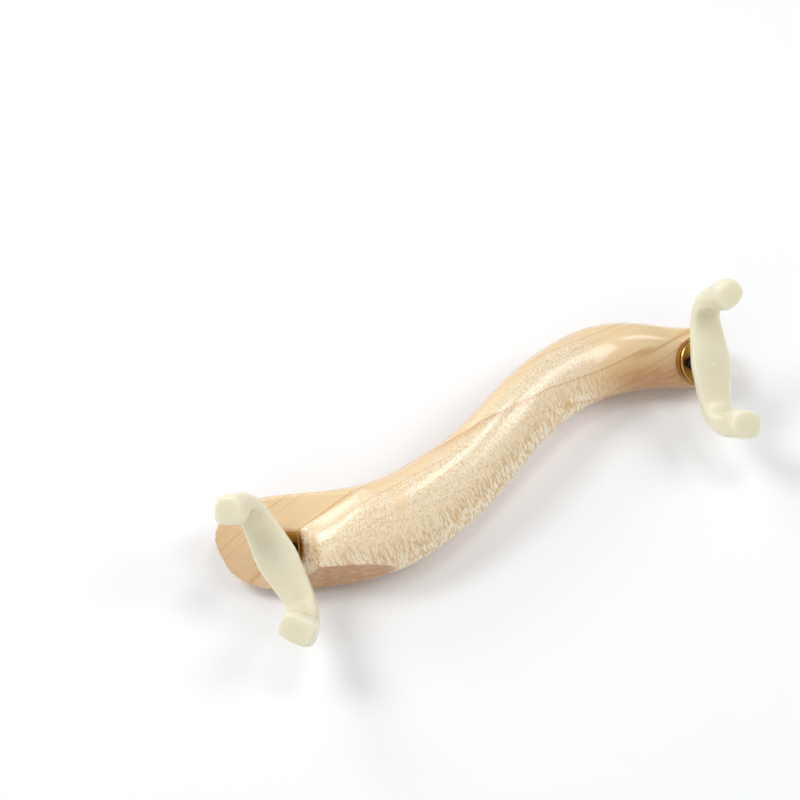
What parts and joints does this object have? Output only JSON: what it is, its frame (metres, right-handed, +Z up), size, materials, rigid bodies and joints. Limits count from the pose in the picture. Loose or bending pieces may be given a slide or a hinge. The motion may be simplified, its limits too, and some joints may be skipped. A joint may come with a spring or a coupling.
{
  "type": "violin shoulder rest",
  "caption": "S-shaped carved maple shoulder rest with a brass plate at each end and two rubber forks on threaded studs that grip a violin's edges.",
  "frame": {"origin": "on the table under the middle of the whole rest's bounding box", "axes": "+Z up from the table, +X from the wide left end to the narrow right end"},
  "size_m": [0.2072, 0.0752, 0.0608],
  "materials": {
    "maple": "glossy clear varnish",
    "brass": "polished",
    "rubber": "pale translucent, soft gloss",
    "core": "matt",
    "black_steel": "black oxide"
  },
  "bodies": {
    "rest": {"body_wood": "maple", "left_plate": "brass", "right_plate": "brass", "left_inner_bush": "brass", "left_outer_bush": "brass", "right_inner_bush": "brass", "right_outer_bush": "brass"},
    "left_stud": {"left_fork_stud": "black_steel"},
    "left_fork": {"left_fork_rubber": "rubber", "left_fork_core": "core", "left_fork_hub": "core"},
    "right_stud": {"right_fork_stud": "black_steel"},
    "right_fork": {"right_fork_rubber": "rubber", "right_fork_core": "core", "right_fork_hub": "core"}
  },
  "joints": [
    {"name": "left_fork_height", "type": "slide", "parent": "rest", "child": "left_stud", "axis": [-0.5003, -0.437, 0.7475], "range_m": [-0.0035, 0.0035]},
    {"name": "left_fork_turn", "type": "hinge", "parent": "left_stud", "child": "left_fork", "pos_m": [-0.07998, 0.00446, 0.01966], "axis": [-0.5003, -0.437, 0.7475], "range_deg": [-1805, 1805]},
    {"name": "right_fork_height", "type": "slide", "parent": "rest", "child": "right_stud", "axis": [0.1773, -0.6139, 0.7692], "range_m": [-0.0035, 0.0035]},
    {"name": "right_fork_turn", "type": "hinge", "parent": "right_stud", "child": "right_fork", "pos_m": [0.08472, 0.00446, 0.0198], "axis": [0.1773, -0.6139, 0.7692], "range_deg": [-1805, 1805]}
  ],
  "couplings": [
    {"joint": "left_fork_turn", "follows": "left_fork_height", "rad_per_m": 8976},
    {"joint": "right_fork_turn", "follows": "right_fork_height", "rad_per_m": 8976}
  ]
}
